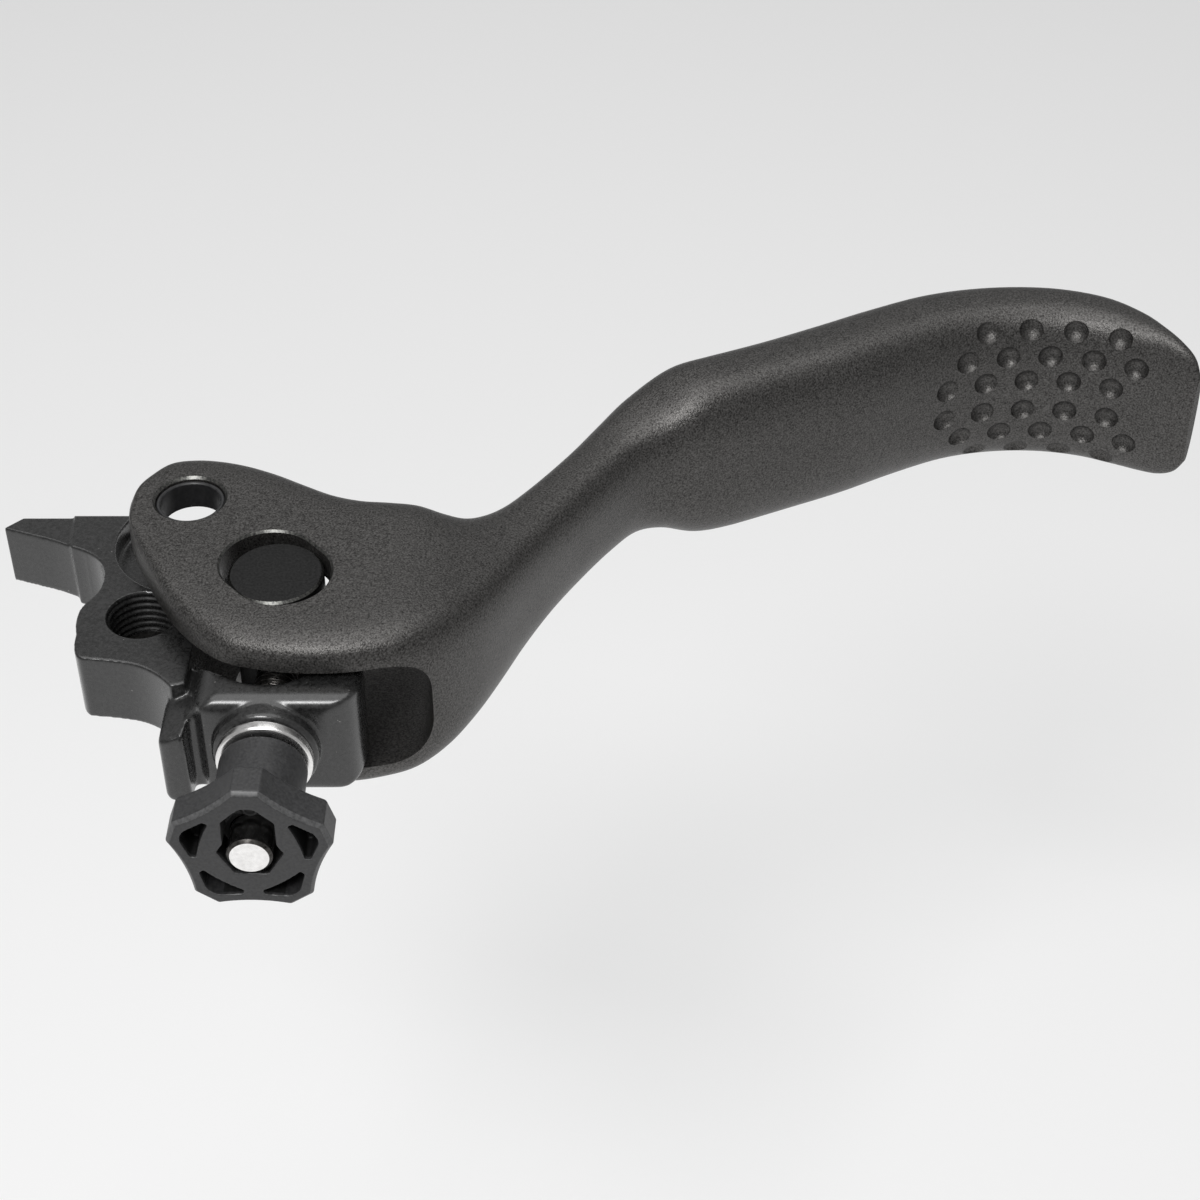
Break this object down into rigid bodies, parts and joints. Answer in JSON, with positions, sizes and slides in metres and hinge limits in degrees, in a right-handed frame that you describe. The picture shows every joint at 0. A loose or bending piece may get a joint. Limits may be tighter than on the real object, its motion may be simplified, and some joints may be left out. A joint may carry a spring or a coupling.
{
  "type": "clutch lever",
  "caption": "Short two-finger hydraulic hand lever: dimpled blade forked around a link arm, with a lobed reach-adjuster knob on a threaded rod.",
  "frame": {"origin": "on the main pivot axis, at mid-height of the fork", "axes": "+X along the blade towards its tip, +Y away from the adjuster knob towards the handlebar grip side, +Z along the main pivot axis"},
  "size_m": [0.1226, 0.0786, 0.0192],
  "materials": {
    "blade": "bead-blasted black anodised",
    "bush": "moulded",
    "link": "satin black anodised",
    "screw": "black oxide",
    "bright": "polished",
    "ring": "matte",
    "nut": "black anodised, bright bevel",
    "knob": "moulded dark grey"
  },
  "bodies": {
    "link": {"link_arm": "link", "eye_bush": "bush", "set_screw": "screw", "rod_bush": "bright", "friction_ring": "ring"},
    "blade": {"lever_blade": "blade", "pivot_bush_upper": "bush", "pivot_bush_lower": "bush"},
    "nut": {"barrel_nut": "nut"},
    "knob": {"adjuster_knob": "knob", "adjuster_rod": "bright", "retaining_clip": "screw"}
  },
  "joints": [
    {"name": "blade_reach", "type": "hinge", "parent": "link", "child": "blade", "pos_m": [0, 0, 0], "axis": [0, 0, 1], "range_deg": [-3.5, 3.5]},
    {"name": "nut_travel", "type": "slide", "parent": "link", "child": "nut", "axis": [0, 1, 0], "range_m": [-0.00135, 0.00135]},
    {"name": "knob_spin", "type": "hinge", "parent": "link", "child": "knob", "pos_m": [0.0093, 0, 0], "axis": [0, 1, 0], "range_deg": [-720, 720]}
  ],
  "couplings": [
    {"joint": "nut_travel", "follows": "blade_reach", "m_per_rad": 0.02093},
    {"joint": "knob_spin", "follows": "blade_reach", "ratio": -187.87}
  ]
}
